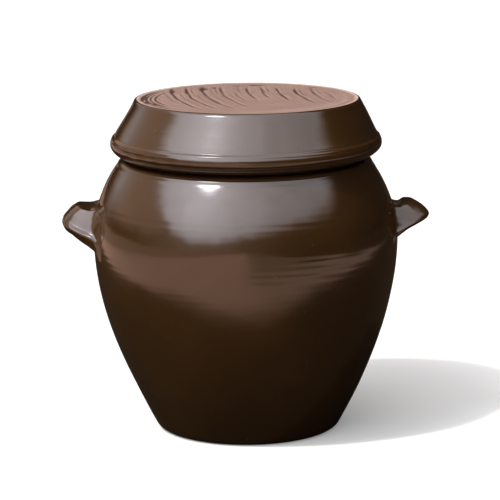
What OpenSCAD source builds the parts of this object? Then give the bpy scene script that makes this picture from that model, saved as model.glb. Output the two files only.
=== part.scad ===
// Glazed earthenware storage jar with two lug handles and a loose lid.
// Millimetres, +Z up. The origin is the centre of the foot, and the handles point along X.

/* [Jar] */
// Diameter of the flat foot
foot_d = 206; // [150:1:240]
// Radius of the rounded heel between foot and wall
heel_r = 12; // [6:0.5:20]
// Lean of the wall where it leaves the heel, from upright
heel_lean = 28.5; // [20:0.5:40]
// Diameter of the belly at its widest
belly_d = 372; // [340:1:420]
// Height of the belly at its widest
belly_z = 240; // [210:1:260]
// Height where the shoulder turns up into the neck
shoulder_z = 331.5; // [320:0.5:350]
// Width of the ledge between the neck and the end of the shoulder
shoulder_ledge = 15; // [12:0.5:18]
// Thickness of the thrown wall
wall = 10; // [7:0.5:14]
// Thickness of the floor
floor_t = 14; // [10:0.5:20]

/* [Mouth] */
// Clear diameter of the mouth
mouth_d = 256; // [220:1:270]
// Thickness of the neck wall
neck_wall = 9; // [7:0.5:12]
// Height of the neck from the end of the shoulder to the middle of the rim
neck_h = 33; // [28:0.5:45]
// Radius of the rolled rim
rim_roll = 8; // [6:0.5:10]

/* [Lid] */
// Lean of the lid's side, from upright
lid_lean = 28.8; // [20:0.2:35]
// Thickness of the lid's side
lid_wall = 12; // [8:0.5:14]
// Thickness of the lid's flat top
lid_floor = 11; // [8:0.5:16]
// Room between the jar's rim and the underside of the lid's flat top
lid_headroom = 22.5; // [14:0.5:34]
// How far the lid's skirt hangs below the top of the jar's rim
skirt_drop = 36.5; // [30:0.5:38]
// Gap all round between the skirt and the jar's rim
skirt_gap = 3.5; // [3:0.5:8]
// Height of the rolled edge round the skirt
edge_h = 26.5; // [22:0.5:32]
// How far the rolled edge stands out from the lid's side
edge_bulge = 5; // [2:0.5:8]
// Radius round the lid's flat top
top_round = 3; // [1:0.5:6]
// Gap left between the lid and the rim that it sits on
seat_gap = 0.3; // [0.2:0.05:0.5]

/* [Handles] */
// Width of a handle along the wall
lug_w = 110; // [90:1:130]
// How far a handle's nose stands out past the belly
lug_reach = 37.5; // [25:0.5:48]
// Height of the top of a handle
lug_z = 281; // [260:1:290]
// How much lower the left handle's nose is than its top
left_fall = 24; // [14:1:28]
// How much lower the right handle's nose is than its top
right_fall = 18; // [14:1:28]
// How much lower the left handle meets the wall at its ends than in the middle
left_droop = 30; // [12:1:36]
// How much lower the right handle meets the wall at its ends than in the middle
right_droop = 20; // [12:1:36]
// Thickness of the handle's lip
lug_lip = 12; // [9:0.5:18]
// Thickness of the handle where it joins the wall
lug_root = 20; // [14:0.5:26]

/* [Hidden] */
$fn = 128;

glaze_colour = [0.24, 0.15, 0.10];
wall_steps = 22;    // straight pieces in each long curve of the wall
turn_steps = 6;     // straight pieces in each small curve
lug_sections = 24;  // sections along a handle
lug_steps = 5;      // straight pieces in each curve of a handle's section
lug_back = 4;       // straight pieces up a handle's back, which lies on the wall
lug_end = 86;       // sweep, from the middle to each end section of a handle, in degrees

foot_r = foot_d / 2;
belly_r = belly_d / 2;
mouth_r = mouth_d / 2;
neck_r = mouth_r + neck_wall;
rim_mid = [mouth_r + rim_roll, shoulder_z + neck_h];
rim_top = rim_mid[1] + rim_roll;
rim_r = rim_mid[0] + rim_roll;

// Points of a cubic curve with its four control points, and its direction
function curve_at(p, t) =
    pow(1 - t, 3) * p[0] + 3 * t * pow(1 - t, 2) * p[1] + 3 * t * t * (1 - t) * p[2] + pow(t, 3) * p[3];
function curve_dir(p, t) =
    pow(1 - t, 2) * (p[1] - p[0]) + 2 * t * (1 - t) * (p[2] - p[1]) + t * t * (p[3] - p[2]);
function curve(p, n) = [for (i = [0:n]) curve_at(p, i / n)];
// The same curve moved to its left, square to its own direction
function curve_left(p, n, by) =
    [for (i = [0:n]) let (d = curve_dir(p, i / n)) curve_at(p, i / n) + by * [-d[1], d[0]] / norm(d)];
function arc(mid, r, from, to, n) =
    [for (i = [0:n]) let (a = from + (to - from) * i / n) mid + r * [cos(a), sin(a)]];
function backwards(list) = [for (i = [len(list) - 1:-1:0]) list[i]];

// The wall is two curves that meet upright at the belly.
heel_dir = [sin(heel_lean), cos(heel_lean)];
heel_end = [foot_r, heel_r] + heel_r * [cos(heel_lean), -sin(heel_lean)];
belly = [belly_r, belly_z];
lower_rise = belly_z - heel_end[1];
lower_wall = [heel_end, heel_end + 0.47 * lower_rise * heel_dir, belly - [0, 0.29 * lower_rise], belly];
shoulder_dir = [-0.707, 0.707];
shoulder_end = [neck_r + shoulder_ledge, shoulder_z];
upper_rise = shoulder_z - belly_z;
upper_wall = [belly, belly + [0, 0.48 * upper_rise], shoulder_end - 0.08 * upper_rise * shoulder_dir, shoulder_end];
neck_foot = [neck_r, shoulder_z + 0.6 * shoulder_ledge];
neck_sweep = [
    shoulder_end,
    shoulder_end + 0.3 * shoulder_ledge * shoulder_dir,
    neck_foot - [0, 0.35 * shoulder_ledge],
    neck_foot
];

// Inside the neck, the wall turns from the shoulder up to the mouth.
shoulder_in = shoulder_end + wall * [-shoulder_dir[1], shoulder_dir[0]] / norm(shoulder_dir);
neck_in = [mouth_r, shoulder_z + 0.6 * shoulder_ledge];
throat = [
    neck_in,
    neck_in - [0, 0.55 * shoulder_ledge],
    shoulder_in + 0.4 * shoulder_ledge * shoulder_dir,
    shoulder_in
];

outer_line = concat(
    [[0, 0], [foot_r, 0]],
    arc([foot_r, heel_r], heel_r, -90, -heel_lean, turn_steps),
    curve(lower_wall, wall_steps),
    curve(upper_wall, wall_steps),
    curve(neck_sweep, turn_steps)
);
under_rim = -acos((neck_r - rim_mid[0]) / rim_roll);
rim_line = arc(rim_mid, rim_roll, under_rim, 180, 4 * turn_steps);
floor_round = 1.5 * wall;
inner_low = [for (p = curve_left(lower_wall, wall_steps, wall)) if (p[1] > floor_t + floor_round) p];
inner_foot = inner_low[0];
floor_turn = [
    inner_foot,
    inner_foot - [0.35 * floor_round, 0.7 * floor_round],
    [inner_foot[0] - 0.9 * floor_round, floor_t],
    [inner_foot[0] - 1.8 * floor_round, floor_t]
];
inner_line = concat(
    curve(throat, turn_steps),
    backwards(curve_left(upper_wall, wall_steps, wall)),
    backwards(inner_low),
    curve(floor_turn, turn_steps),
    [[0, floor_t]]
);

// Radius of the outside of the wall at a height
wall_table = [for (p = concat(curve(lower_wall, wall_steps), curve(upper_wall, wall_steps))) [p[1], p[0]]];
function wall_r(z) = lookup(z, wall_table);

// The lid's side rests on the outer shoulder of the jar's rolled rim.
seat = rim_mid + (rim_roll + seat_gap) * [cos(lid_lean), sin(lid_lean)];
function lid_in(z) = seat[0] + tan(lid_lean) * (seat[1] - z);
function lid_out(z) = lid_in(z) + lid_wall / cos(lid_lean);
lid_ceiling = rim_top + lid_headroom;
lid_top = lid_ceiling + lid_floor;
lid_foot = rim_top - skirt_drop;
skirt_r = rim_r + skirt_gap;
edge_top = [lid_out(lid_foot + edge_h), lid_foot + edge_h];
edge_r = edge_top[0] + edge_bulge;
edge_mid = [edge_r, lid_foot + 0.62 * edge_h];
edge_foot = [skirt_r + 3, lid_foot + 0.6];
lid_side_end = [lid_out(lid_top - top_round), lid_top - top_round];
lid_flat_r = lid_out(lid_top) - top_round;
// Height where the lid's side meets the upright inside of the skirt
skirt_top = seat[1] - (skirt_r - seat[0]) / tan(lid_lean);
ceiling_round = 10;

lid_line = concat(
    [[0, lid_top], [lid_flat_r, lid_top]],
    curve([[lid_flat_r, lid_top], [lid_out(lid_top), lid_top], lid_side_end, lid_side_end], turn_steps),
    curve([
        edge_top,
        edge_top + [0.62 * edge_bulge, -0.08 * edge_h],
        edge_mid + [0, 0.15 * edge_h],
        edge_mid
    ], turn_steps),
    curve([
        edge_mid,
        edge_mid - [0, 0.27 * edge_h],
        [edge_r - 0.39 * (edge_r - edge_foot[0]), lid_foot + 0.24 * edge_h],
        edge_foot
    ], 2 * turn_steps),
    [[skirt_r + 1.2, lid_foot], [skirt_r, lid_foot + 1.4], [skirt_r, skirt_top]],
    curve([
        [lid_in(lid_ceiling - ceiling_round), lid_ceiling - ceiling_round],
        [lid_in(lid_ceiling - 0.4 * ceiling_round), lid_ceiling - 0.4 * ceiling_round],
        [lid_in(lid_ceiling) - 0.3 * ceiling_round, lid_ceiling],
        [lid_in(lid_ceiling) - ceiling_round, lid_ceiling]
    ], turn_steps),
    [[0, lid_ceiling]]
);

// A handle is a drooping hood of clay, set on by hand, so the two differ a little. Each section lies in an upright plane through the axis.
lug_half = asin(lug_w / 2 / belly_r);
function lug_section(sweep, fall, droop) =
    let (
        share = cos(sweep),
        top_z = lug_z - droop * (1 - share),
        foot_z = top_z - lug_root,
        top = [wall_r(top_z), top_z],
        foot = [wall_r(foot_z), foot_z],
        nose_z = top_z - fall,
        reach = belly_r + lug_reach - wall_r(lug_z - fall),
        nose = [wall_r(nose_z) + reach * share, nose_z],
        out = nose[0] - top[0],
        lip = share * lug_lip,
        above = [top, top + [0.30 * out, -7 * share], top + [0.66 * out, 9 * share], nose + [-0.05 * out, 0.30 * lip]],
        round_nose = [above[3], nose + [0.02 * out, 0.05 * lip], nose + [0.01 * out, -0.5 * lip], nose - [0.14 * out, 0.72 * lip]],
        below = [round_nose[3], nose - [0.34 * out, 0.55 * lip], foot + [0.55 * out, 0.5 * lip], foot]
    )
    concat(
        curve(above, lug_steps + 2),
        [for (i = [1:lug_steps]) curve_at(round_nose, i / lug_steps)],
        [for (i = [1:lug_steps]) curve_at(below, i / lug_steps)],
        [for (i = [1:lug_back - 1]) let (z = foot_z + (top_z - foot_z) * i / lug_back) [wall_r(z), z]]
    );

module handle(fall, droop) {
    sweeps = [for (i = [0:lug_sections]) lug_end * (2 * i / lug_sections - 1)];
    loops = [for (s = sweeps) lug_section(s, fall, droop)];
    m = len(loops[0]);
    points = [
        for (i = [0:lug_sections]) let (turn = lug_half * sin(sweeps[i]))
            for (p = loops[i]) [p[0] * cos(turn), p[0] * sin(turn), p[1]]
    ];
    skin = [
        for (i = [0:lug_sections - 1], k = [0:m - 1])
            let (a = i * m + k, b = i * m + (k + 1) % m)
                each [[a, b, b + m], [a, b + m, a + m]]
    ];
    first = [for (k = [m - 1:-1:0]) k];
    last = [for (k = [0:m - 1]) lug_sections * m + k];
    color(glaze_colour)
        polyhedron(points, concat(skin, [first, last]), convexity = 4);
}

module jar_body() {
    color(glaze_colour)
        rotate_extrude()
            polygon(concat(outer_line, rim_line, inner_line));
}

module left_handle() {
    mirror([1, 0, 0])
        handle(left_fall, left_droop);
}

module right_handle() {
    handle(right_fall, right_droop);
}

module lid() {
    color(glaze_colour)
        rotate_extrude()
            polygon(lid_line);
}

jar_body();
left_handle();
right_handle();
lid();
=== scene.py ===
"""A glazed earthenware storage jar with two lug handles and a loose lid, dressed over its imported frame.

Lengths in the shape functions are millimetres, as in the source of the frame. They turn into metres where a
mesh is made. Angles round the jar are measured from the front, -Y, and grow towards the right handle, +X.
"""

import bpy
import numpy as np
from mathutils import Matrix


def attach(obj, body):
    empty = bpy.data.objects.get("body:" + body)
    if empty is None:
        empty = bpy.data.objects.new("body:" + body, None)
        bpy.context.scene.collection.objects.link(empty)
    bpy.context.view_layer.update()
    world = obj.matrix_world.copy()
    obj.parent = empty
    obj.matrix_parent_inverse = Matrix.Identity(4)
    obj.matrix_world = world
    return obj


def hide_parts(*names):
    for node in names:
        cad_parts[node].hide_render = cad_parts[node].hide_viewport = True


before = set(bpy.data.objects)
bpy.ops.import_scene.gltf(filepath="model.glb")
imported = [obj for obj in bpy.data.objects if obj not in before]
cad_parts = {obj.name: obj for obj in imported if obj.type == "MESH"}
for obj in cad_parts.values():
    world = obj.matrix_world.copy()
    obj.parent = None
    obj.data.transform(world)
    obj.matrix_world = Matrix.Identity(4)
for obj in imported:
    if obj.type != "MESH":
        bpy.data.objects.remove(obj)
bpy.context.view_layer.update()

MM = 0.001
TURN = 2 * np.pi

# Sizes of the jar and its lid, as in the frame's source. A point of a wall is its radius and its height.
BELLY = np.array([186.0, 240.0])
SHOULDER_END = np.array([152.0, 331.5])
FOOT_R, HEEL_R, HEEL_LEAN = 103.0, 12.0, np.radians(28.5)
WALL, FLOOR_T = 10.0, 14.0
MOUTH_R, NECK_R, RIM_ROLL = 128.0, 137.0, 8.0
RIM_MID = np.array([136.0, 364.5])
LID_LEAN = np.radians(28.8)
LID_WALL, LID_TOP, LID_CEILING, LID_FOOT, SKIRT_R = 12.0, 406.0, 395.0, 336.0, 147.5
# The lid's inner cone stands this far off the rolled rim.
SEAT_GAP = 0.3
# Height of the mouth inside, where the throat starts
THROAT_TOP = 340.5

# Points round each turned piece
JAR_COLUMNS, LID_COLUMNS = 320, 400
# Radius of the small fans in the middle of the flat floors and ceilings, and of the one in the lid's top
FAN_R, TOP_FAN_R = 6.0, 1.2


# Curves and grids
def cubic(points, steps):
    """Points of a cubic Bezier curve: its four control points, weighted by the cubic Bernstein terms."""
    p = np.asarray(points, float)
    t = np.linspace(0, 1, steps + 1)[:, None]
    return (1 - t) ** 3 * p[0] + 3 * t * (1 - t) ** 2 * p[1] + 3 * t**2 * (1 - t) * p[2] + t**3 * p[3]


def arc(mid, radius, start, end, steps):
    """Points of an arc: the middle plus the radius times cosine and sine of even angles, in degrees."""
    a = np.radians(np.linspace(start, end, steps + 1))
    return np.asarray(mid) + radius * np.stack([np.cos(a), np.sin(a)], 1)


def chain(*runs):
    """One line from several: the runs end to end, with points that repeat left out."""
    line = np.concatenate([np.atleast_2d(run) for run in runs])
    keep = np.r_[True, np.linalg.norm(np.diff(line, axis=0), axis=1) > 1e-6]
    return line[keep]


def length_along(line):
    """The length of a line up to each of its points: the running sum of the distances between them."""
    return np.r_[0, np.cumsum(np.linalg.norm(np.diff(line, axis=0), axis=1))]


def read_off(line, length, at):
    """The points of a line at the given lengths along it: both coordinates interpolated."""
    return np.stack([np.interp(at, length, line[:, k]) for k in (0, 1)], 1)


def even(line, step):
    """A line's own shape at an even spacing, as near to the step as a whole number of steps allows."""
    length = length_along(line)
    count = max(2, int(round(length[-1] / step)) + 1)
    return read_off(line, length, np.linspace(0, length[-1], count))


# Spacing up the jar's wall, where it is plain and where it has rings: the belly's and those at the top edge
PLAIN_STEP, RING_STEP = 2.6, 1.2
RINGED = [(229, 1, 26), (328, 1, 7)]


def spaced(line):
    """A line at an uneven spacing: wide where the wall is plain, and close where the wall has rings.

    The wished step goes from one to the other by the sum of two bell curves of the height. Its inverse,
    summed along the line, counts the points.
    """
    length = length_along(line)
    fine = np.clip(humps(line[:, 1], RINGED), 0, 1)
    wish = 1 / (PLAIN_STEP - (PLAIN_STEP - RING_STEP) * fine)
    count = np.r_[0, np.cumsum(0.5 * (wish[1:] + wish[:-1]) * np.diff(length))]
    at = np.interp(np.linspace(0, count[-1], int(count[-1]) + 1), count, length)
    return read_off(line, length, at)


def moved_left(line, by):
    """A line moved square to itself: each point plus the distance times its direction, turned to the left."""
    d = np.gradient(line, axis=0)
    d /= np.linalg.norm(d, axis=1)[:, None]
    return line + by * np.stack([-d[:, 1], d[:, 0]], 1)


def hump(x, middle, width):
    """A bell curve: e to the minus square of the distance from the middle over the width."""
    return np.exp(-(((x - middle) / width) ** 2))


def humps(x, rows):
    """A sum of bell curves, from rows that hold the middle, the height and the width of each."""
    return sum(height * hump(x, middle, width) for middle, height, width in rows)


def ease(x, low, high):
    """A smooth step: three t squared less two t cubed, with t the share of the way from low to high."""
    t = np.clip((x - low) / (high - low), 0, 1)
    return t * t * (3 - 2 * t)


def wave(x, length, shift=0.0):
    """A sine wave: the sine of one turn for each wave length in x, plus a shift in radians."""
    return np.sin(TURN * x / length + shift)


def wobble(x, y, lengths, seed):
    """Smooth noise from -1 to 1: the mean of sine waves of the lengths given, each in its own random way."""
    source = np.random.default_rng(seed)
    total = 0.0
    for length in lengths:
        way, shift = source.uniform(0, TURN, 2)
        total = total + wave(x * np.cos(way) + y * np.sin(way), length, shift)
    return total / len(lengths)


def turned(line, columns):
    """A line spun round the axis: angle, radius and height of each grid point, rows along the line."""
    angle = np.linspace(0, TURN, columns, endpoint=False)
    a, r = np.meshgrid(angle, line[:, 0])
    z = np.repeat(line[:, 1:2], columns, axis=1)
    return a, r, z


def place(angle, radius, height):
    """Cylinder coordinates as points: radius times sine to +X, radius times cosine to -Y, and the height."""
    return np.stack([radius * np.sin(angle), -radius * np.cos(angle), height], -1)


def angle_from_front(angle):
    """The same angle counted from minus to plus a half turn, nought at the front."""
    return (angle + np.pi) % TURN - np.pi


def mesh_from_grid(name, grid, poles, clay_rows=0, attributes=None):
    """A closed mesh from a grid of points, rows by columns, whose columns close round.

    Four neighbours of the grid make a face, and a fan of triangles closes the first and the last row on its
    pole. The first clay_rows rows of faces, with the fan before them, have the second material.
    """
    rows, columns = grid.shape[:2]
    index = np.arange(rows * columns).reshape(rows, columns)
    right = np.roll(index, -1, axis=1)
    points = np.concatenate([grid.reshape(-1, 3), np.asarray(poles, float)])
    first, last = rows * columns, rows * columns + 1
    quads = np.stack([index[:-1], right[:-1], right[1:], index[1:]], -1).reshape(-1, 4)
    fans = np.concatenate([
        np.stack([np.full(columns, first), right[0], index[0]], 1),
        np.stack([np.full(columns, last), index[-1], right[-1]], 1),
    ])
    corners = np.concatenate([quads.ravel(), fans.ravel()])
    sizes = np.r_[np.full(len(quads), 4), np.full(len(fans), 3)]
    slots = np.zeros(len(sizes))
    if clay_rows:
        slots[: clay_rows * columns] = 1
        slots[len(quads): len(quads) + columns] = 1
    mesh = bpy.data.meshes.new(name)
    mesh.vertices.add(len(points))
    mesh.vertices.foreach_set("co", (points * MM).astype(np.float32).ravel())
    mesh.loops.add(len(corners))
    mesh.loops.foreach_set("vertex_index", corners.astype(np.int32))
    mesh.polygons.add(len(sizes))
    mesh.polygons.foreach_set("loop_start", np.r_[0, np.cumsum(sizes)[:-1]].astype(np.int32))
    mesh.polygons.foreach_set("loop_total", sizes.astype(np.int32))
    mesh.polygons.foreach_set("material_index", slots.astype(np.int32))
    mesh.update(calc_edges=True)
    mesh.validate()
    mesh.shade_smooth()
    for key, values in (attributes or {}).items():
        flat = np.zeros(len(points), np.float32)
        flat[: rows * columns] = values.ravel()
        mesh.attributes.new(key, "FLOAT", "POINT").data.foreach_set("value", flat)
    piece = bpy.data.objects.new(name, mesh)
    bpy.context.scene.collection.objects.link(piece)
    return piece


# The jar
HEEL_DIR = np.array([np.sin(HEEL_LEAN), np.cos(HEEL_LEAN)])
HEEL_END = np.array([FOOT_R, HEEL_R]) + HEEL_R * np.array([np.cos(HEEL_LEAN), -np.sin(HEEL_LEAN)])
LOWER_RISE, UPPER_RISE = BELLY[1] - HEEL_END[1], SHOULDER_END[1] - BELLY[1]
SHOULDER_DIR = np.array([-0.707, 0.707])
LOWER_WALL = [HEEL_END, HEEL_END + 0.47 * LOWER_RISE * HEEL_DIR, BELLY - [0, 0.29 * LOWER_RISE], BELLY]
UPPER_WALL = [
    BELLY,
    BELLY + [0, 0.48 * UPPER_RISE],
    SHOULDER_END - 0.08 * UPPER_RISE * SHOULDER_DIR,
    SHOULDER_END,
]
OUTER_WALL = chain(cubic(LOWER_WALL, 200), cubic(UPPER_WALL, 120))
# The foot stands this far to the right of the belly's middle, and the wall is true again from this height.
FOOT_SHIFT, SHIFT_END = 1.6, 190

# Rings in the wall: height, how far each stands out, and width
BELLY_RINGS = [
    (246.5, 0.10, 1.2), (242.2, -0.16, 0.8), (239.0, 0.13, 1.1), (234.6, -0.13, 0.8), (230.8, 0.14, 1.4),
    (226.0, -0.19, 0.8), (222.3, 0.12, 1.2), (217.5, -0.11, 0.9), (213.0, 0.07, 1.5), (206.0, -0.05, 1.1),
]
GROOVE = [(281.0, -0.15, 1.1), (284.0, 0.07, 1.6), (278.0, 0.05, 1.4)]
TOP_EDGE = [(329.2, 0.45, 1.2), (325.6, -0.35, 1.0), (320.5, -0.20, 7.5)]
# Where round the jar they are strong: angle from the front, strength, and width
STRONG_RINGS = [(0.30, 0.9, 0.34), (-1.05, 0.1, 0.3), (2.6, 1.0, 0.9)]
STRONG_GROOVE = [(0.35, 1.0, 0.6), (-0.85, 1.0, 0.35), (2.9, 1.0, 0.8)]
# Their strength everywhere else
WEAK_RINGS, WEAK_GROOVE = 0.04, 0.25


def wall_radius(height):
    """Radius of the outside of the jar's wall at a height, read off the wall's two curves."""
    return np.interp(height, OUTER_WALL[:, 1], OUTER_WALL[:, 0])


def strength(front, strong, weak):
    """How strong a ring is at an angle: weak all round, and up to one where the bell curves say."""
    return weak + (1 - weak) * np.clip(humps(front, strong), 0, 1)


def jar_relief(angle, height):
    """How far the thrown wall stands off its smooth curve: a sum of sine waves and bell curves.

    Slow swelling of the hand-thrown wall, faint finger rings all the way up, a band of stronger rings round
    the belly, one groove over it, and the turned ridge and groove at the top of the shoulder. The rings rise
    a little as they go round, as a thrower's fingers do.
    """
    front = angle_from_front(angle)
    round_it = front * BELLY[0]
    swell = 0.55 * np.cos(2 * angle - 0.9) + 0.3 * np.cos(3 * angle + 1.3 + height / 90)
    swell += 0.2 * np.sin(angle + height / 38)
    swell += 0.22 * wobble(round_it, height, (150, 105, 83, 64), 31)
    swell += 0.05 * wobble(round_it, height, (40, 31, 23), 32)
    spiral = height + 1.2 * angle / np.pi + 1.3 * np.sin(angle + 0.4) + 0.5 * np.sin(3 * angle)
    faint = 0.011 * wave(spiral, 7.1) * (0.5 + 0.5 * np.sin(height / 23 + 2 * angle))
    faint += 0.012 * wave(spiral, 3.3, 2 * np.sin(angle * 2))
    rings = humps(spiral, BELLY_RINGS) * strength(front, STRONG_RINGS, WEAK_RINGS)
    groove = humps(spiral, GROOVE) * strength(front, STRONG_GROOVE, WEAK_GROOVE)
    body = ease(height, 10, 60) * (1 - ease(height, 316, 328))
    return body * (swell + faint + rings + groove) + humps(height, TOP_EDGE)


def jar_inside():
    """The jar's inside in four runs from the mouth to the middle of its floor.

    The throat is a curve on to the shoulder, the wall is the outside moved in by its thickness, and another
    curve turns it into the flat floor.
    """
    shoulder_in = SHOULDER_END + WALL * np.array([-SHOULDER_DIR[1], SHOULDER_DIR[0]])
    mouth = np.array([MOUTH_R, THROAT_TOP])
    throat = cubic([mouth, mouth - [0, 8.25], shoulder_in + 6 * SHOULDER_DIR, shoulder_in], 10)
    wall = moved_left(OUTER_WALL, WALL)[::-1]
    wall = wall[(wall[:, 1] > FLOOR_T + 15) & (wall[:, 1] < shoulder_in[1])]
    foot = wall[-1]
    turn = cubic([foot, foot - [5.25, 10.5], (foot[0] - 13.5, FLOOR_T), (foot[0] - 27, FLOOR_T)], 10)
    floor = np.array([turn[-1], (FAN_R, FLOOR_T)])
    return throat, even(wall, 6.0), turn, even(floor, 8.0)


def make_jar():
    """The jar as one closed skin: up the outside, over the rolled rim, and down the inside to the floor."""
    underside = even(np.array([(FAN_R, 0), (FOOT_R, 0)]), 8.0)
    heel = arc((FOOT_R, HEEL_R), HEEL_R, -90, -np.degrees(HEEL_LEAN), 12)
    outside = spaced(chain(heel, OUTER_WALL))
    neck_foot = np.array([NECK_R, SHOULDER_END[1] + 9.0])
    neck = cubic([SHOULDER_END, SHOULDER_END + 4.5 * SHOULDER_DIR, neck_foot - [0, 5.25], neck_foot], 8)
    under_rim = -np.degrees(np.arccos((NECK_R - RIM_MID[0]) / RIM_ROLL))
    rim = arc(RIM_MID, RIM_ROLL, under_rim, 180, 30)
    throat, wall, turn, floor = jar_inside()
    line = chain(underside, outside, even(neck, 1.6), even(chain(neck[-1], rim), 2.0),
                 even(chain(rim[-1], throat), 3.0), wall, turn, floor)
    a, r, z = turned(line, JAR_COLUMNS)
    row = np.arange(len(line))[:, None]
    is_wall = (row < len(underside) + len(outside)) & (z > 0.01)
    points = place(a, r + jar_relief(a, z) * is_wall, z)
    points[..., 0] += FOOT_SHIFT * (1 - ease(z, 0, SHIFT_END))
    poles = [(FOOT_SHIFT, 0, 0), (FOOT_SHIFT, 0, FLOOR_T)]
    return mesh_from_grid("thrown_jar", points, poles, len(underside) - 1)


# The handles
# Each handle is a net of rails, from the top of the root, out over the crest and the lip, and back under to
# the foot of the root. A rail has six knots: at the handle's middle, beside the nose, at the nose's corner, on
# the flat end face, at its end, and on the smear beyond it. It gives the knots' distances off the wall, their
# distances along the wall from the handle's middle, and then their heights.
LEFT_NET = [
    ((0.1, 0.1, 0.1, 0.1, 0, 0.1), (0, 14, 25, 40, 51, 61),
     (280.8, 280.8, 280.8, 278.8, 281.8, 279.4)),
    ((2.6, 2.6, 2.6, 2.6, 1.6, 0.6), (0, 14, 24, 38, 49, 60),
     (276.6, 276.2, 275.4, 274.6, 278.8, 276.5)),
    ((8.5, 8.5, 7.5, 5, 2.6, 0.9), (0, 14, 23, 36, 46.5, 59),
     (274, 273.4, 272, 271.8, 276.9, 273.6)),
    ((18.5, 18.7, 18.3, 9.7, 3.3, 1), (0, 15, 24, 32.5, 40, 58),
     (276.7, 276.7, 276.1, 273.8, 275.5, 270.9)),
    ((24.6, 24.5, 22.7, 12.5, 4.5, 1.1), (0, 17, 27, 34.5, 41, 58),
     (278.5, 278.6, 276.7, 274.9, 276.1, 268)),
    ((32.6, 32, 28.4, 16, 5.6, 1.2), (0, 18, 26.5, 37.1, 46.6, 58.5),
     (271.4, 271.9, 269.9, 263.6, 261.6, 257)),
    ((39.1, 37.8, 32.3, 17.9, 6.1, 1.2), (0, 19, 27.2, 39.5, 51, 59),
     (261.5, 261.9, 260.7, 253.7, 249.8, 243)),
    ((39.1, 37.3, 32.8, 19.3, 7.7, 1.1), (0, 19.5, 33.6, 45.2, 56.2, 59.5),
     (254.6, 254.9, 254.2, 248.7, 244.9, 237)),
    ((35, 33.1, 28.1, 14.7, 3.5, 0.3), (0, 19, 29.5, 41, 54.2, 60),
     (247.2, 247, 244.8, 235.4, 228.4, 226)),
    ((25, 23.2, 20.5, 11.4, 2.8, 0.3), (0, 17, 30, 42, 54.5, 60),
     (249.8, 249.3, 247.6, 239.1, 226.2, 222)),
    ((9, 8.7, 8.1, 5.5, 1.7, 0.3), (0, 16, 27, 40, 54.4, 60),
     (257.5, 257.1, 254.8, 246, 224.9, 219)),
    ((1.2, 1.2, 1.2, 1.2, 0.8, 0.3), (0, 14, 22, 37.5, 53.6, 60),
     (256.5, 255.5, 252.4, 242, 222.6, 216)),
]
RIGHT_NET = [
    ((0.3, 0.3, 0.3, 0.3, 0.2, 0.2), (0, 12, 22, 36, 46.5, 57),
     (278, 278, 278, 277, 279.6, 278.6)),
    ((2.4, 2.4, 2.4, 2.2, 1.8, 0.6), (0, 12, 21, 34, 44.5, 56),
     (273.4, 273.4, 273, 273.6, 278, 275.7)),
    ((6.5, 6.5, 6, 4.6, 3, 0.9), (0, 12, 21, 32.5, 42.5, 55),
     (272.4, 272.1, 271.4, 272.8, 278, 273.1)),
    ((17.5, 16.7, 14.2, 9.2, 2.2, 0.6), (0, 15, 23, 31.5, 41, 57),
     (280.6, 280.8, 279.9, 277.5, 278.6, 271.8)),
    ((25.3, 24.1, 18.4, 11.2, 2.4, 0.6), (0, 16, 26, 33.5, 42, 57),
     (280.2, 280.1, 278.4, 276, 275.6, 268)),
    ((34.1, 32.7, 24.3, 14.1, 2.3, 0.6), (0, 17, 27, 36.5, 46.5, 57),
     (273.2, 273.3, 269.6, 266.3, 262.8, 257)),
    ((40.6, 38, 28.8, 16.9, 2, 0.6), (0, 17, 27, 39, 50.5, 57),
     (265.5, 266.8, 262.4, 258, 250.9, 248)),
    ((41.1, 38.5, 29.4, 17.7, 2.5, 0.6), (0, 17, 27.6, 40.5, 52, 57),
     (262, 262.8, 259.5, 255.1, 246.8, 243)),
    ((37.3, 34.6, 26.4, 14.8, 1.1, 0.6), (0, 17, 29.5, 40.5, 52.4, 57),
     (257.5, 258.5, 255.6, 250.5, 241, 239)),
    ((26.8, 25, 18.7, 11, 0.9, 0.6), (0, 16, 29, 40, 52.6, 57),
     (258.8, 259.4, 257, 252.5, 239, 236)),
    ((9, 8.7, 7.6, 5.5, 0.7, 0.5), (0, 15, 27, 38.5, 52, 57),
     (263.5, 263.1, 260.5, 255.3, 237.2, 233)),
    ((1.2, 1.2, 1.2, 1.2, 0.8, 0.2), (0, 13, 23, 36, 49, 56),
     (261, 260, 257, 251, 235.6, 230)),
]
# A handle's side is -1 on the left and 1 on the right. The upper rails of its far half, which the camera sees
# only over the crest, stand lower by these, from beside the nose to the smear. Its near half stands further
# out on the right, and less far on the left, by this share.
FAR_DROP = {-1: (1.6, 1.8, 1.6, 1.2, 0.6), 1: (0.6, 1.6, 4.6, 5.2, 2.5)}
NEAR_SWELL = 0.02
# The left handle stands this much further from the middle of the jar.
LEFT_SHIFT = 0.4
# The net's rim is sunk by this, and lies past the smear, over the root and under it by these.
SUNK, PAST_SMEAR, OVER_ROOT, UNDER_ROOT = 3.0, 3.5, 9.0, 5.0
# Steps from one knot to the next, and how often the net is averaged round its section and along the handle
KNOT_STEPS, ROUND_SECTION, ROUND_ALONG = 10, 5, 9


def buried(half):
    """A net with its rim sunk in the wall: a knot more past the smear, a rail over the root and one under."""
    on_wall = np.array((0, 1, 1))
    past = half[:, -1:] * on_wall + (-SUNK, PAST_SMEAR, 0)
    half = np.concatenate([half, past], 1)
    over = half[:1] * on_wall + (-SUNK, 0, OVER_ROOT)
    under = half[-1:] * on_wall + (-SUNK, 0, -UNDER_ROOT)
    return np.concatenate([over, half, under])


def filled(rows, following):
    """Straight lines from each row of points to the one after it, in even steps, less their last points."""
    step = np.linspace(0, 1, KNOT_STEPS, endpoint=False)[:, None, None]
    return np.concatenate([(1 - step) * row + step * after for row, after in zip(rows, following)])


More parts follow.
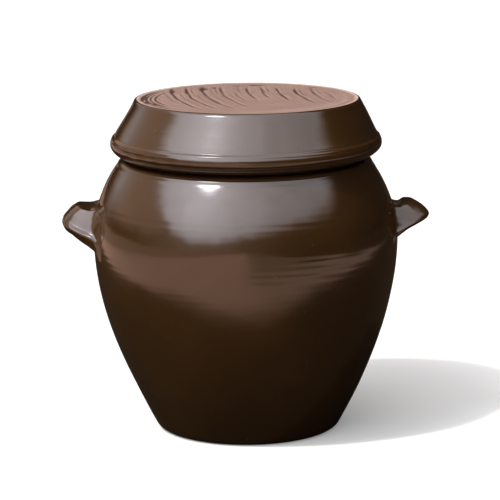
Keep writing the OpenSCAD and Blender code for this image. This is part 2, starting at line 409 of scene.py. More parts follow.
def rounded(grid, axis, times_over, closed):
    """Corners taken off along one axis: each point becomes half itself and a quarter of both its neighbours.

    Where the axis isn't closed, the points at its ends stay.
    """
    ends = [slice(None)] * grid.ndim
    ends[axis] = [0, -1]
    for _ in range(times_over):
        softer = 0.5 * grid + 0.25 * (np.roll(grid, 1, axis) + np.roll(grid, -1, axis))
        if not closed:
            softer[tuple(ends)] = grid[tuple(ends)]
        grid = softer
    return grid


def handle_relief(side, off, way, z, seed):
    """How far the clay stands off the net, from the distance off the wall, the way along it and the height.

    Soft lumps out on the hood, a low smear where it meets the wall, and ridges where its ends were pressed
    on. Lumps and smear are smooth noise, and the ridges two sine waves of the way along.
    """
    lump = 0.45 * wobble(way, z, (37, 23, 15, 9), seed) * ease(off, 1.0, 8.0)
    smear = 0.35 * wobble(way * 1.6, z * 0.6, (19, 11, 7), seed + 1) * hump(off, 1.4, 1.2)
    outward = np.abs(way)
    ridges = 0.55 * wave(outward + 0.06 * z, 4.4) + 0.30 * wave(outward - 0.04 * z, 2.7, 1)
    pressed = hump(outward, 57.0 - 3.0 * side, 5.5) * ease(off, -1.0, 1.0)
    return lump + smear + pressed * ridges


def make_handle(name, side, net, seed):
    """A hood of clay pressed on to the wall and smeared down round its root.

    The net of rails is mirrored about the handle's middle and filled in straight both ways. Then its corners
    are rounded by averaging, a few times round the section and more along the handle.
    """
    far = buried(np.array(net, float).transpose(0, 2, 1))
    near = far * (1, -1, 1)
    knots = np.concatenate([near[:, :0:-1], far], 1).transpose(1, 0, 2)
    middle = len(knots) // 2
    knots[:middle, 1:-1, 0] *= 1 + NEAR_SWELL * side
    knots[middle + 1: middle + 6, 1:6, 2] -= np.array(FAR_DROP[side])[:, None]
    rails = np.concatenate([filled(knots[:-1], knots[1:]), knots[-1:]]).transpose(1, 0, 2)
    grid = filled(rails, np.roll(rails, -1, axis=0)).transpose(1, 0, 2)
    grid = rounded(grid, 1, ROUND_SECTION, True)
    grid = rounded(grid, 0, ROUND_ALONG, False)
    off, way, z = grid[..., 0], grid[..., 1], grid[..., 2]
    r = wall_radius(z) + off + handle_relief(side, off, way, z, seed)
    points = place(TURN / 4 + way / BELLY[0], r, z)
    if side < 0:
        points = (points + (LEFT_SHIFT, 0, 0)) * (-1, 1, 1)
        points = points[:, ::-1]
    return mesh_from_grid(name, points, [points[0].mean(0), points[-1].mean(0)])


# The lid
def lid_inside(height):
    """Radius of the lid's inner cone: the seat on the rim less the height over it times the cone's slope."""
    seat = RIM_MID + (RIM_ROLL + SEAT_GAP) * np.array([np.cos(LID_LEAN), np.sin(LID_LEAN)])
    return seat[0] + np.tan(LID_LEAN) * (seat[1] - height)


def lid_outside(height):
    """Radius of the lid's outer cone at a height: the inner cone moved out by the lid's wall."""
    return lid_inside(height) + LID_WALL / np.cos(LID_LEAN)


# The flat top's radius, and the point of the cone where the rounding of the top's corner ends
FLAT_R = lid_outside(LID_TOP) - 1.4
CONE_TOP = np.array([lid_outside(LID_TOP - 1.5), LID_TOP - 1.5])
# The rolled edge: height of its top and of its widest point, and how far that stands out from the top
EDGE_TOP, EDGE_MID, EDGE_OUT = 362.5, 352.4, 5.0
# The double line over the rolled edge and the ridge under it: height, how far each stands out, and width
EDGE_LINES = [(362.0, -0.30, 0.9), (359.9, 0.34, 1.0), (357.6, -0.10, 0.8), (341.5, 0.30, 0.9)]
# The lid's top, and then its whole outside, stand this far to the right of its seat. Its side is tilted by the
# third value, up at the right and down at the left.
TOP_SHIFT, OUTSIDE_SHIFT, TILT = 1.8, 1.5, 0.45
# Millimetres in a radian round the rolled edge, and fewer of them for the ripple, which is long and low
EDGE_ROUND, RIPPLE_ROUND = 160, 52.5
# Radius of the bare clay on the top, at its sides
CLAY_R = 134.3

# The wire's marks on the lid's top: place across the lid, how far each shows to the front and to the back,
# depth, and width
WIRE_MARKS = [
    (-94, -95, 100, 0.74, 1.9), (-74, -95, 104, 0.78, 1.7), (-53, -96, 104, 0.64, 2.1),
    (-30, -84, 112, 0.58, 1.9), (-14, -40, 64, 0.34, 1.8), (2, -24, 108, 0.62, 1.6),
    (20, -14, 112, 0.64, 1.5), (39, -32, 96, 0.86, 1.4), (60, -52, 92, 0.9, 1.5),
    (80, -50, 100, 0.58, 1.6), (95, -22, 66, 0.44, 1.5), (108, -30, 40, 0.22, 1.3),
    (-84, -100, 60, 0.34, 1.1), (-63, -104, 40, 0.32, 1.1), (-42, -100, 90, 0.32, 1.1),
    (-21, -76, 60, 0.28, 1.1), (12, -40, 90, 0.16, 1), (30, -46, 80, 0.2, 1),
    (50, -60, 70, 0.2, 1), (70, -62, 70, 0.18, 1), (-103, -60, 70, 0.34, 1.5),
    (-67, 10, 100, 0.3, 1.3), (-36, 20, 100, 0.34, 1.3), (-8, 30, 108, 0.42, 1.4),
    (27, 30, 104, 0.4, 1.3), (66, -10, 80, 0.4, 1.3), (87, 10, 84, 0.36, 1.3),
]
# The same along the left rim, where the wire turned with it: radius, first and last angle in degrees, depth,
# and width
RIM_MARKS = [
    (127.0, -124, -74, 0.80, 1.9), (122.2, -128, -62, 0.90, 1.7), (117.2, -118, -46, 0.74, 1.6),
    (111.2, -120, -52, 0.62, 1.8), (124.5, -66, -38, 0.60, 1.6), (106.4, -106, -66, 0.30, 1.5),
    (119.6, -76, -36, 0.34, 1.4),
]
# Gouges in the top: place to the right and to the back, length across and along, depth
CLAY_PITS = [
    (-52, 80, 5.0, 11, 0.9), (-90, 60, 2.4, 17, 0.7), (-73, 56, 1.7, 15, 0.6), (14, 112, 11, 5.0, 0.6),
    (-54, 98, 3, 5, 0.4), (-38, 92, 2.6, 7, 0.55), (-11, 106, 5, 4, 0.4), (46, 24, 1.6, 15, 0.35),
    (63, 48, 1.5, 14, 0.35), (8, 32, 1.5, 12, 0.3), (25, 52, 1.4, 12, 0.3), (-125, 10, 3.0, 14, 0.8),
    (-121, -34, 2.2, 9, 0.6), (-110, -50, 2.2, 7, 0.5), (84, 88, 3.2, 4, 0.4),
]
# A mark grows from nothing and fades again over these lengths and this angle in degrees.
FRONT_FADE, BACK_FADE, RIM_FADE = 34, 30, 14
# The arcs are circles of this radius, with their middles this far to the back.
SAG_R, SAG_Y = 400.0, 90.0
# The clay between two marks rises over this width before the next one.
RISE_WIDTH = 16


def wire_arcs(across, y):
    """Height and painted shade and highlight of the wire's marks, from the place across the arcs and the
    distance to the back.

    Each mark is a bell-shaped groove with a raised lip to its right, and the clay rises slowly up to it.
    """
    height, shade_and_highlight = np.zeros_like(across), np.zeros_like(across)
    for mark, front, back, depth, width in WIRE_MARKS:
        shown = depth * ease(y, front, front + FRONT_FADE) * (1 - ease(y, back - BACK_FADE, back))
        shown = shown * (0.82 + 0.18 * np.sin(y / 11.0 + mark))
        groove, lip = hump(across, mark, width), hump(across, mark + 1.9 * width, width)
        rise = np.clip(1 + (across - mark) / RISE_WIDTH, 0, 1) * (across < mark)
        height += shown * (0.45 * lip - 1.15 * groove + 0.5 * rise)
        # Painted shade in the groove, less a painted highlight on the lip
        shade_and_highlight += shown * (groove - 0.30 * lip)
    return height, shade_and_highlight


def rim_arcs(x, y):
    """Height and painted shade and highlight of the marks along the rim: bell curves of the radius, each with
    a lip inside it.
    """
    height, shade_and_highlight = np.zeros_like(x), np.zeros_like(x)
    r, a = np.hypot(x, y), np.degrees(np.arctan2(x, -y))
    for radius, first, last, depth, width in RIM_MARKS:
        shown = depth * ease(a, first, first + RIM_FADE) * (1 - ease(a, last - RIM_FADE, last))
        groove, lip = hump(r, radius, width), hump(r, radius - 2.0 * width, width)
        height += shown * (0.35 * lip - 0.9 * groove)
        # Painted shade in the groove, less a painted highlight on the lip
        shade_and_highlight += shown * (groove - 0.45 * lip)
    return height, shade_and_highlight


def pits(x, y):
    """Depth of the gouges: a bell curve of the distance from each one's middle, made ragged by noise."""
    total = np.zeros_like(x)
    for middle_x, middle_y, across, along, depth in CLAY_PITS:
        ragged = 1 + 0.35 * wobble(x, y, (9, 6, 13), int(middle_x + 200))
        total += depth * hump(np.hypot((x - middle_x) / across, (y - middle_y) / along) * ragged, 0, 1)
    return total


def cut_marks(x, y):
    """Height of the clay on the lid's top, its painted shade in the cuts and painted highlight on the lips,
    and its place across the arcs.

    A wire drawn through the clay leaves shell-like arcs. A point's place across them is its x less the sag of
    a circle, with some smooth noise.
    """
    sag = SAG_R - np.sqrt(SAG_R**2 - (y - SAG_Y) ** 2)
    across = x - sag + 1.3 * wobble(x, y, (95, 61, 43), 3)
    arc_height, arc_shade_and_highlight = wire_arcs(across, y)
    rim_height, rim_shade_and_highlight = rim_arcs(x, y)
    gouged = pits(x, y)
    height = arc_height + rim_height - gouged + 0.22 * wobble(x, y, (64, 41, 28), 8)
    # The gouges add painted shade as well as their depth.
    return height, np.clip(arc_shade_and_highlight + rim_shade_and_highlight + gouged, -0.5, 1.3), across


def clay_edge(angle):
    """Radius at which the bare clay stops: less by the cosine squared at the front and back, and wavy."""
    forward = np.cos(angle)
    pulled_in = np.where(forward > 0, 1.2, 0.9) * forward**2
    return CLAY_R - pulled_in + 0.35 * np.sin(5 * angle + 1) * forward


def clay_top(angle, r):
    """The bare top: height over the flat, painted shade in the cuts and painted highlight on the lips, and its
    place across and along.

    The wire's marks die out at the edge, where a ring of clay stands up with a painted highlight. Two weaker
    ones stand inside it on the right. All three are bell curves of the distance in from the edge.
    """
    x, y = r * np.sin(angle), -r * np.cos(angle)
    # depth is the marks' painted shade and highlight, not a height
    marks, depth, across = cut_marks(x, y)
    inward = np.clip(clay_edge(angle) - r, 0, None)
    level = marks * ease(inward, 1.0, 5.5) - 0.5 * ease(inward, 0.0, 3.0)
    shade_and_highlight = depth * ease(inward, 1.5, 5.0)
    first = hump(inward, 2.2, 1.9) * (0.75 + 0.25 * wobble(x, y, (31, 19, 12), 9))
    second = hump(inward, 15.0, 2.6) * ease(np.cos(angle - 0.75), 0.35, 0.9)
    third = hump(inward, 24.0, 2.2) * ease(np.cos(angle - 0.55), 0.5, 0.95)
    # Each ring stands up by its height and takes a painted highlight by its share pale
    for ring, height, pale in ((first, 0.45, 1.0), (second, 0.15, 0.25), (third, 0.1, 0.15)):
        level = level + height * ring
        shade_and_highlight = shade_and_highlight - pale * ring
    return level, shade_and_highlight, across, y


def over_skirt(z):
    """A smooth step from nought at the lid's foot to one 12 mm over it, on the rolled edge."""
    return ease(z, LID_FOOT + 0.5, LID_FOOT + 12)


def lid_relief(angle, z):
    """How far the lid's glazed side stands off its profile: a sum of waves, noise and bell curves.

    Slow swelling, faint rings and a ripple, the lines over and under the rolled edge, and lumps on it at the
    left front.
    """
    swell = 0.35 * np.cos(2 * angle + 0.5) + 0.2 * np.cos(3 * angle - 1.0)
    rings = 0.014 * wave(z, 13.0, 2.8 * np.sin(angle)) + 0.012 * wave(z, 6.1, 3 * np.sin(2 * angle))
    ripple = 0.018 * wobble(angle * RIPPLE_ROUND, z, (8, 5, 3.6, 12), 23)
    lumps = 0.26 * wobble(angle * EDGE_ROUND, z, (9, 6, 4.3, 14), 21)
    lumps = lumps * hump(z, 350, 8) * hump(angle_from_front(angle), -0.85, 0.45)
    return (swell + rings + ripple) * over_skirt(z) + humps(z, EDGE_LINES) + lumps


def lid_profile():
    """Half the lid's section, as its top with the corner, its glazed side and its inside.

    Each is a chain of straight lines and cubic curves at even spacings. The last value is how many points of
    the top are flat.
    """
    flat = even(np.array([(TOP_FAN_R, LID_TOP), (FLAT_R, LID_TOP)]), 1.12)
    corner = np.array([lid_outside(LID_TOP) - 0.1, LID_TOP])
    top = chain(flat, cubic([(FLAT_R, LID_TOP), corner, corner - (0.0, 0.4), CONE_TOP], 6))
    edge_top = np.array([lid_outside(EDGE_TOP), EDGE_TOP])
    edge_mid = np.array([edge_top[0] + EDGE_OUT, EDGE_MID])
    edge_foot = np.array([SKIRT_R + 3.0, LID_FOOT + 0.6])
    rolled_edge = chain(
        cubic([edge_top, edge_top + [3.1, -2.1], edge_mid + [0, 4.0], edge_mid], 10),
        cubic([edge_mid, edge_mid - [0, 7.15], (edge_mid[0] - 5.8, 342.4), edge_foot], 16),
    )
    over_lines = CONE_TOP + 0.84 * (edge_top - CONE_TOP)
    cone = chain(even(np.array([CONE_TOP, over_lines]), 2.2), even(np.array([over_lines, edge_top]), 0.7))
    side = chain(cone, even(rolled_edge, 0.8))
    inner_cone_foot = RIM_MID[1] - (SKIRT_R - lid_inside(RIM_MID[1])) / np.tan(LID_LEAN)
    skirt = np.array([(SKIRT_R + 1.2, LID_FOOT), (SKIRT_R, LID_FOOT + 1.4), (SKIRT_R, inner_cone_foot)])
    under_top = lid_inside(LID_CEILING)
    ceiling = cubic([
        (lid_inside(LID_CEILING - 10), LID_CEILING - 10), (lid_inside(LID_CEILING - 4), LID_CEILING - 4),
        (under_top - 3, LID_CEILING), (under_top - 10, LID_CEILING),
    ], 8)
    inside = chain(even(chain(edge_foot, skirt), 3.0), even(chain(skirt[-1], ceiling), 5.0),
                   even(np.array([ceiling[-1], (FAN_R, LID_CEILING)]), 12.0))
    return top, side, inside, len(flat)


def make_lid():
    """The lid as one closed skin: across the cut top, down the cone, round the rolled edge and up inside."""
    top, side, inside, flat_points = lid_profile()
    outside = chain(top, side)
    line = chain(outside, inside)
    row = np.arange(len(line))[:, None]
    is_outside, on_top = row < len(outside), row < len(top)
    a, r, z = turned(line, LID_COLUMNS)
    # The flat is drawn in to the edge of the clay, and the rounding of the corner stretched to meet it.
    edge = clay_edge(a)
    margin = np.clip((r - FLAT_R) / (CONE_TOP[0] - FLAT_R), 0, 1)
    stretched = edge + margin * (CONE_TOP[0] - edge)
    r = np.where(on_top, np.where(r <= FLAT_R, r * edge / FLAT_R, stretched), r)
    is_bare = on_top & (margin <= 0)
    level, shade_and_highlight, across, along = clay_top(a, r)
    z = z + np.where(is_bare, level, 0)
    on_side = ease(r, CONE_TOP[0], CONE_TOP[0] + 4) * is_outside
    r = r + TOP_SHIFT * ease(z, EDGE_TOP - 0.5, LID_TOP - 12) * ease(r, 40, 120) * is_outside * np.sin(a)
    r = r + on_side * lid_relief(a, z)
    r = r + OUTSIDE_SHIFT * ease(r, 40, 120) * over_skirt(z) * is_outside * np.sin(a)
    tilt = TILT * np.sin(a - 0.5) * on_side * over_skirt(z)
    points = place(a, r, z + tilt)
    top_middle = LID_TOP + cut_marks(np.zeros(1), np.zeros(1))[0][0] - 0.5
    # The bare top's painted shade and highlight goes to the clay material as an attribute.
    fields = {"shade_and_highlight": np.where(is_bare, shade_and_highlight, 0), "across": across, "along": along}
    attributes = {key: values[:, ::-1] for key, values in fields.items()}
    poles = [(0, 0, top_middle), (0, 0, LID_CEILING)]
    return mesh_from_grid("thrown_lid", points[:, ::-1], poles, flat_points - 1, attributes)


# Materials
def nodes_of(owner):
    """The empty node tree of a material or a world."""
    owner.use_nodes = True
    tree = owner.node_tree
    tree.nodes.clear()
    return tree


def feed(tree, socket, value):
    """Gives an input its value, or a link where the value is another node's socket."""
    if isinstance(value, bpy.types.NodeSocket):
        tree.links.new(value, socket)
    else:
        socket.default_value = value


def add(tree, kind, inputs=None, **settings):
    """A node with its settings and its inputs."""
    node = tree.nodes.new(kind)
    for key, value in settings.items():
        setattr(node, key, value)
    for key, value in (inputs or {}).items():
        feed(tree, node.inputs[key], value)
    return node


def maths(tree, operation, *values, clamp=False):
    """The result of one operation on its values."""
    inputs = dict(enumerate(values))
    return add(tree, "ShaderNodeMath", inputs, operation=operation, use_clamp=clamp).outputs[0]


def plus(tree, a, b):
    """One value plus another."""
    return maths(tree, "ADD", a, b)


def less(tree, a, b):
    """One value less another."""
    return maths(tree, "SUBTRACT", a, b)


def times(tree, a, b):
    """One value times another."""
    return maths(tree, "MULTIPLY", a, b)


def largest(tree, *values):
    """The largest of several values."""
    top = values[0]
    for value in values[1:]:
        top = maths(tree, "MAXIMUM", top, value)
    return top


def ramp(tree, factor, stops, smooth=False):
    """A colour ramp over the stops, each a position from 0 to 1 and a colour or a grey."""
    node = add(tree, "ShaderNodeValToRGB", {0: factor})
    node.color_ramp.interpolation = "EASE" if smooth else "LINEAR"
    elements = node.color_ramp.elements
    while len(elements) < len(stops):
        elements.new(0.5)
    for element, (position, colour) in zip(elements, stops):
        element.position = position
        element.color = (*colour, 1) if isinstance(colour, tuple) else (colour, colour, colour, 1)
    return node.outputs[0]


def mix(tree, factor, a, b):
    """A colour on the way from the first to the second, each a colour or a socket."""
    inputs = {0: factor}
    for key, colour in ((6, a), (7, b)):
        inputs[key] = (*colour, 1) if isinstance(colour, tuple) else colour
    return add(tree, "ShaderNodeMix", inputs, data_type="RGBA").outputs[2]


def noise(tree, vector, scale, detail=3.0, rough=0.5):
    """Cloudy noise from 0 to 1, whose scale is the count of clouds in one unit of the vector."""
    inputs = {"Vector": vector, "Scale": scale, "Detail": detail, "Roughness": rough}
    return add(tree, "ShaderNodeTexNoise", inputs).outputs[0]


GLAZE_SHADES = [
    (0.3, (0.035, 0.0168, 0.0044)), (0.55, (0.045, 0.0217, 0.0056)), (0.75, (0.060, 0.029, 0.0076)),
]
WIPED_GLAZE, PINHOLE = (0.031, 0.0158, 0.0044), (0.20, 0.12, 0.07)
GLAZE_IOR, GLAZE_BLUR = 1.7, 0.12


def glaze_material():
    """Dark brown ash glaze, in soft clouds of lighter and darker brown, with wiped rings and pinholes."""
    material = bpy.data.materials.new("brown_glaze")
    tree = nodes_of(material)
    here = add(tree, "ShaderNodeTexCoord").outputs["Object"]
    flat_rings = add(tree, "ShaderNodeMapping", {"Vector": here, "Scale": (3.0, 3.0, 90.0)}).outputs[0]
    cloud = noise(tree, here, 9.0)
    streak = noise(tree, flat_rings, 1.0, 4.0, 0.6)
    body = ramp(tree, cloud, GLAZE_SHADES)
    body = mix(tree, times(tree, streak, 0.35), body, WIPED_GLAZE)
    cells = add(tree, "ShaderNodeTexVoronoi", {"Vector": here, "Scale": 85.0}, feature="F1")
    is_hole = maths(tree, "LESS_THAN", cells.outputs["Distance"], 0.06)
    is_pitted = maths(tree, "GREATER_THAN", noise(tree, here, 30.0, 1.0), 0.62)
    body = mix(tree, times(tree, times(tree, is_hole, is_pitted), 0.45), body, PINHOLE)
    fine, peel = noise(tree, here, 420.0, 2.0), noise(tree, here, 70.0, 2.0)
    height = plus(tree, times(tree, fine, 0.10), plus(tree, peel, times(tree, streak, 0.5)))
    bump = add(tree, "ShaderNodeBump", {"Height": height, "Strength": 0.12, "Distance": 0.0005})
    rough = plus(tree, times(tree, cloud, 0.08), GLAZE_BLUR)
    shader = add(tree, "ShaderNodeBsdfPrincipled", {
        "Base Color": body, "Roughness": rough, "Normal": bump.outputs[0],
        "IOR": GLAZE_IOR, "Coat Weight": 1.0, "Coat Roughness": GLAZE_BLUR, "Coat IOR": GLAZE_IOR,
    })
    add(tree, "ShaderNodeOutputMaterial", {"Surface": shader.outputs[0]})
    return material


CLAY_SHADES = [(0.3, (0.226, 0.141, 0.109)), (0.7, (0.273, 0.177, 0.140))]
DARK_SCRATCH, PALE_SCRATCH, PALE_GRIT = (0.17, 0.10, 0.078), (0.42, 0.31, 0.26), (0.44, 0.35, 0.30)
# Painted highlight for the raised lips and rings, and painted shade for the cuts and gouges
PAINTED_RIDGE_HIGHLIGHT, PAINTED_CUT_SHADE = (0.52, 0.39, 0.335), (0.050, 0.024, 0.015)


def clay_material():
    """Bare fired clay: dusty rose brown with grit, with painted shade down in the cuts and gouges and painted
    highlight where the lips and edge rings stand up.

    Fine scratches run along the wire's arcs: noise stretched along them, on the mesh's own across and along.
    """
    material = bpy.data.materials.new("bare_clay")
    tree = nodes_of(material)
    here = add(tree, "ShaderNodeTexCoord").outputs["Object"]
    shade_and_highlight, across, along = (
        add(tree, "ShaderNodeAttribute", attribute_name=name).outputs["Fac"]
        for name in ("shade_and_highlight", "across", "along")
    )
    stretched = {0: times(tree, across, 0.42), 1: times(tree, along, 0.016)}
    drawn = add(tree, "ShaderNodeCombineXYZ", stretched).outputs[0]
    scratch = noise(tree, drawn, 1.0, 3.0, 0.65)
    cloud = noise(tree, here, 22.0, 4.0, 0.6)
    grit = noise(tree, here, 520.0, 2.0)
    body = ramp(tree, cloud, CLAY_SHADES)
    body = mix(tree, ramp(tree, scratch, [(0.30, 0.26), (0.50, 0.0)]), body, DARK_SCRATCH)
    body = mix(tree, ramp(tree, scratch, [(0.52, 0.0), (0.75, 0.30)]), body, PALE_SCRATCH)
    body = mix(tree, ramp(tree, grit, [(0.40, 0.0), (0.75, 0.18)]), body, PALE_GRIT)
    # Painted highlight where the clay stands up, then painted shade down in the cuts and gouges
    body = mix(tree, ramp(tree, times(tree, shade_and_highlight, -1.0), [(0.0, 0.0), (0.8, 0.90)]), body, PAINTED_RIDGE_HIGHLIGHT)
    body = mix(tree, ramp(tree, shade_and_highlight, [(0.05, 0.0), (0.55, 0.95)]), body, PAINTED_CUT_SHADE)
    height = plus(tree, grit, times(tree, scratch, 1.5))
    bump = add(tree, "ShaderNodeBump", {"Height": height, "Strength": 0.35, "Distance": 0.0004})
    shader = add(tree, "ShaderNodeBsdfPrincipled", {
        "Base Color": body, "Roughness": 0.85, "Normal": bump.outputs[0], "IOR": 1.45,
    })
    add(tree, "ShaderNodeOutputMaterial", {"Surface": shader.outputs[0]})
    return material


# The studio light on the jar, and the white floor and background that the camera sees
def toward(azimuth, elevation):
    """The direction at an azimuth from the front, growing to +X, and an elevation, both in degrees."""
    a, e = np.radians((azimuth, elevation))
    return (np.sin(a) * np.cos(e), -np.cos(a) * np.cos(e), np.sin(e))


# The lower edges of the broad light and of the dimmer band: azimuth from the front and elevation, in degrees
SKYLINE = [
    (-180, 58), (-150, 52), (-130, 45), (-105, 42), (-90, 33), (-75, 26), (-60, 14), (-45, 8), (-25, 8),
    (-12, 12), (0, 18), (15, 21), (35, 24), (55, 26), (75, 28), (86, 33), (95, 41), (110, 52), (120, 58),
    (180, 58),
]
LOW_LINE = [
    (-180, 80), (-168, 30), (-158, 10), (-140, 8), (-120, 7), (-100, 8), (-75, 10), (-62, 14), (-52, 80),
    (180, 80),
]
# How far each edge fades to either side, and how much noise moves both up and down, in degrees
SKY_EDGE, LOW_EDGE, RAGGED_EDGE = 7.0, 5.0, 12.0
SKY_LEVEL, LOW_LEVEL, DARK_LEVEL = 0.77, 0.425, 0.016
# Glows: the way to the middle, the spread in degrees, and the level there
HAZE = (toward(-43, 44), 37, 1.74)
GROUND_HAZE = (toward(-38, 2), 38, 0.34)
GAP = (toward(-134, 15), 11, 0.50)
# The small patch that gives the glint on the shoulder: the way to it, where its rim starts and ends in
# degrees from its middle, and its level
GLINT_WAY, GLINT_RIM, GLINT_LEVEL = toward(-47, 57.2), (6.2, 7.3), 13.0
# Tints of the dark flags and of the light
DARK_TINT, LIGHT_TINT = (1.0, 0.67, 0.53), (1.0, 0.96, 1.02)
SUN_WAY, SUN_POWER, SUN_SIZE, SUN_COLOUR = toward(-51, 54.5), 1.9, np.radians(3), (1.0, 0.965, 0.89)
# The stops of a ramp from nought to one
FADE = [(0.0, 0.0), (1.0, 1.0)]
WHITE = (1, 1, 1, 1)


def seen_by_camera(tree):
    """One for a ray from the camera or one that passes through glass, and nought for any other."""
    path = add(tree, "ShaderNodeLightPath")
    return largest(tree, path.outputs["Is Camera Ray"], path.outputs["Is Transmission Ray"])


def make_world():
    """One broad soft light from the front left, with dark flags to the right, below and behind.

    The light falls off as a bell curve from its middle, and its lower edge is given by azimuth. Behind on the
    left a dimmer band of light shows between two flags.
    """
    world = bpy.data.worlds.new("studio")
    bpy.context.scene.world = world
    tree = nodes_of(world)
    way = add(tree, "ShaderNodeTexCoord").outputs["Generated"]
    x, y, z = add(tree, "ShaderNodeSeparateXYZ", {"Vector": way}).outputs
    azimuth = maths(tree, "ARCTAN2", x, times(tree, y, -1.0))
    share_round = plus(tree, times(tree, azimuth, 1 / TURN), 0.5)
    ragged = times(tree, less(tree, noise(tree, way, 5.0, 4.0, 0.6), 0.5), RAGGED_EDGE)
    rise = plus(tree, times(tree, maths(tree, "ARCSINE", z), np.degrees(1)), ragged)

    def above(skyline, soft):
        """A smooth step in elevation from nought to one, across a line given by azimuth."""
        edge = ramp(tree, share_round, [(0.5 + a / 360, e / 90) for a, e in skyline])
        over = less(tree, rise, times(tree, edge, 90.0))
        return ramp(tree, plus(tree, maths(tree, "DIVIDE", over, 2 * soft), 0.5), FADE, smooth=True)

    def nearness(middle):
        """Cosine of the angle between a ray and the way to a middle."""
        product = add(tree, "ShaderNodeVectorMath", {0: way, 1: middle}, operation="DOT_PRODUCT")
        return product.outputs["Value"]

    def glow(middle, spread, level):
        """A bell curve of the angle from a middle: e to twice the cosine less one over the spread squared."""
        fall = times(tree, less(tree, nearness(middle), 1.0), 2 / np.radians(spread) ** 2)
        return times(tree, maths(tree, "EXPONENT", fall), level)

    cloud = ramp(tree, noise(tree, way, 3.0, 4.0, 0.55), [(0.3, 0.84), (0.7, 1.12)])
    broad = times(tree, plus(tree, glow(*HAZE), SKY_LEVEL), cloud)
    inner, outer = np.cos(np.radians(GLINT_RIM))
    in_glint = maths(tree, "DIVIDE", less(tree, nearness(GLINT_WAY), outer), inner - outer)
    glint = times(tree, ramp(tree, in_glint, FADE, smooth=True), GLINT_LEVEL)
    sky = above(SKYLINE, SKY_EDGE)
    low = times(tree, above(LOW_LINE, LOW_EDGE), LOW_LEVEL)
    gap = glow(*GAP)
    dim = plus(tree, glow(*GROUND_HAZE), DARK_LEVEL)
    level = largest(tree, times(tree, plus(tree, broad, glint), sky), low, gap, dim)
    pale = largest(tree, sky, maths(tree, "MULTIPLY", gap, 1.8, clamp=True))
    tint = mix(tree, pale, DARK_TINT, LIGHT_TINT)
    lit = add(tree, "ShaderNodeBackground", {"Color": tint, "Strength": level}).outputs[0]
    white = add(tree, "ShaderNodeBackground", {"Color": WHITE, "Strength": 1.0}).outputs[0]
    both = add(tree, "ShaderNodeMixShader", {0: seen_by_camera(tree), 1: lit, 2: white})
    add(tree, "ShaderNodeOutputWorld", {"Surface": both.outputs[0]})


FLOOR_HALF = 20
# How much of the camera's floor is unlit white, and the colour of the rest, which takes the shadow
FLOOR_LIFT, FLOOR_COLOUR = 0.17, (0.955, 1.0, 0.955, 1)
# The floor that the glaze reflects: dark round the jar, tan in front, duller at the right, and dark again at
# the far sides
DARK_FLOOR, TAN, PALE_TAN = (0.020, 0.014, 0.009), (0.34, 0.215, 0.165), (0.50, 0.315, 0.245)
DULL_TAN = (0.17, 0.130, 0.088)
# The tan starts this far in front of the jar's middle. At the second distance to either side, its border has
# come closer by the third value on the left and by the fourth on the right.
TAN_START, TAN_HALF, LEFT_BEND, RIGHT_BEND = 0.45, 0.7, 0.40, 0.10


def reflected_floor(tree):
    """Colour of the floor to any ray but the camera's.

    The tan's border comes closer by the fourth power of x. A ramp reads 0 to 1, so each place on the floor,
    in metres, is moved or scaled to lie there.
    """
    here = add(tree, "ShaderNodeTexCoord").outputs["Object"]
    x, y, _ = add(tree, "ShaderNodeSeparateXYZ", {"Vector": here}).outputs
    from_left = plus(tree, x, 0.5)
    side = ramp(tree, from_left, [(0.45, LEFT_BEND), (0.55, RIGHT_BEND)])
    outward = maths(tree, "ABSOLUTE", maths(tree, "DIVIDE", x, TAN_HALF))
    bend = times(tree, maths(tree, "POWER", outward, 4.0), side)
    past_border = less(tree, plus(tree, bend, -TAN_START), y)
    is_tan = ramp(tree, plus(tree, past_border, 0.5), [(0.40, 0.0), (0.60, 1.0)], smooth=True)
    tan = mix(tree, noise(tree, here, 3.0), TAN, PALE_TAN)
    right = ramp(tree, from_left, [(0.35, 0.0), (0.70, 1.0)], smooth=True)
    in_front = ramp(tree, times(tree, y, -1.0), [(0.60, 0.35), (0.85, 1.0)], smooth=True)
    tan = mix(tree, times(tree, right, in_front), tan, DULL_TAN)
    far_left = ramp(tree, times(tree, x, -0.5), [(0.52, 0.0), (0.85, 0.5)], smooth=True)
    far_right = ramp(tree, times(tree, x, 0.5), [(0.55, 0.0), (0.75, 1.0)], smooth=True)
    for far in (far_left, far_right):
        tan = mix(tree, far, tan, DARK_FLOOR)
    return mix(tree, is_tan, DARK_FLOOR, tan)


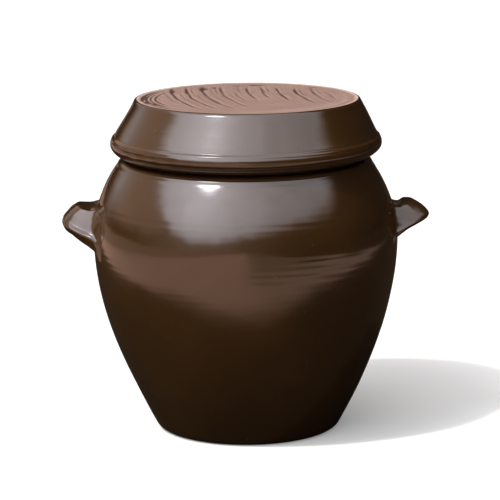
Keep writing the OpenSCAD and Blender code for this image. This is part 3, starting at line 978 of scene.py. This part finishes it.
def make_floor():
    """A floor, white to the camera with the jar's shadow on it, and dark and tan to every other ray."""
    corners = [(-FLOOR_HALF, -FLOOR_HALF, 0), (FLOOR_HALF, -FLOOR_HALF, 0),
               (FLOOR_HALF, FLOOR_HALF, 0), (-FLOOR_HALF, FLOOR_HALF, 0)]
    mesh = bpy.data.meshes.new("ground")
    mesh.from_pydata(corners, [], [(0, 1, 2, 3)])
    ground = bpy.data.objects.new("ground", mesh)
    bpy.context.scene.collection.objects.link(ground)
    material = bpy.data.materials.new("ground")
    tree = nodes_of(material)
    reflected = add(tree, "ShaderNodeBsdfDiffuse", {"Color": reflected_floor(tree)}).outputs[0]
    matte = add(tree, "ShaderNodeBsdfDiffuse", {"Color": FLOOR_COLOUR}).outputs[0]
    plain = add(tree, "ShaderNodeEmission", {"Color": WHITE, "Strength": 1.0}).outputs[0]
    white = add(tree, "ShaderNodeMixShader", {0: FLOOR_LIFT, 1: matte, 2: plain}).outputs[0]
    both = add(tree, "ShaderNodeMixShader", {0: seen_by_camera(tree), 1: reflected, 2: white})
    add(tree, "ShaderNodeOutputMaterial", {"Surface": both.outputs[0]})
    mesh.materials.append(material)


def make_sun():
    """A lamp far off at the left front, 54 degrees up, whose shadow falls back to the right.

    The glaze doesn't reflect it, because the glint on the shoulder comes from the world's small patch. The
    lamp shines along its own -Z, so its +Z is turned to where the light comes from.
    """
    data = bpy.data.lights.new("sun", "SUN")
    data.energy = SUN_POWER
    data.angle = SUN_SIZE
    data.color = SUN_COLOUR
    sun = bpy.data.objects.new("sun", data)
    bpy.context.scene.collection.objects.link(sun)
    sun.visible_glossy = False
    x, y, z = SUN_WAY
    sun.rotation_euler = (np.arccos(z), 0, np.arctan2(y, x) + TURN / 4)


# The camera stands 3.1 m in front of the jar's middle and 0.86 m up, and dips and leans by these degrees.
CAMERA_PLACE = (0.0052, -3.12, 0.8554)
CAMERA_DIP, CAMERA_LEAN = 11.55, -0.41
SENSOR_WIDTH, FOCAL_LENGTH = 36.0, 187.2


def make_camera():
    """The photograph's view: from the camera's place, dipped from level and leaning about its own axis."""
    data = bpy.data.cameras.new("camera")
    data.sensor_width = SENSOR_WIDTH
    data.lens = FOCAL_LENGTH
    camera = bpy.data.objects.new("camera", data)
    bpy.context.scene.collection.objects.link(camera)
    camera.matrix_world = (
        Matrix.Translation(CAMERA_PLACE)
        @ Matrix.Rotation(np.radians(90 - CAMERA_DIP), 4, "X")
        @ Matrix.Rotation(np.radians(CAMERA_LEAN), 4, "Z")
    )
    bpy.context.scene.camera = camera


make_camera()
make_world()
make_floor()
make_sun()

glaze, clay = glaze_material(), clay_material()
jar = make_jar()
lid = make_lid()
left = make_handle("pulled_left_handle", -1, LEFT_NET, 11)
right = make_handle("pulled_right_handle", 1, RIGHT_NET, 12)
for piece, body, node in ((jar, "jar", "jar_body"), (lid, "lid", "lid"),
                          (left, "jar", "left_handle"), (right, "jar", "right_handle")):
    piece.data.materials.append(glaze)
    piece.data.materials.append(clay)
    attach(piece, body)
    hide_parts(node)

scene = bpy.context.scene
scene.view_settings.view_transform = "Standard"
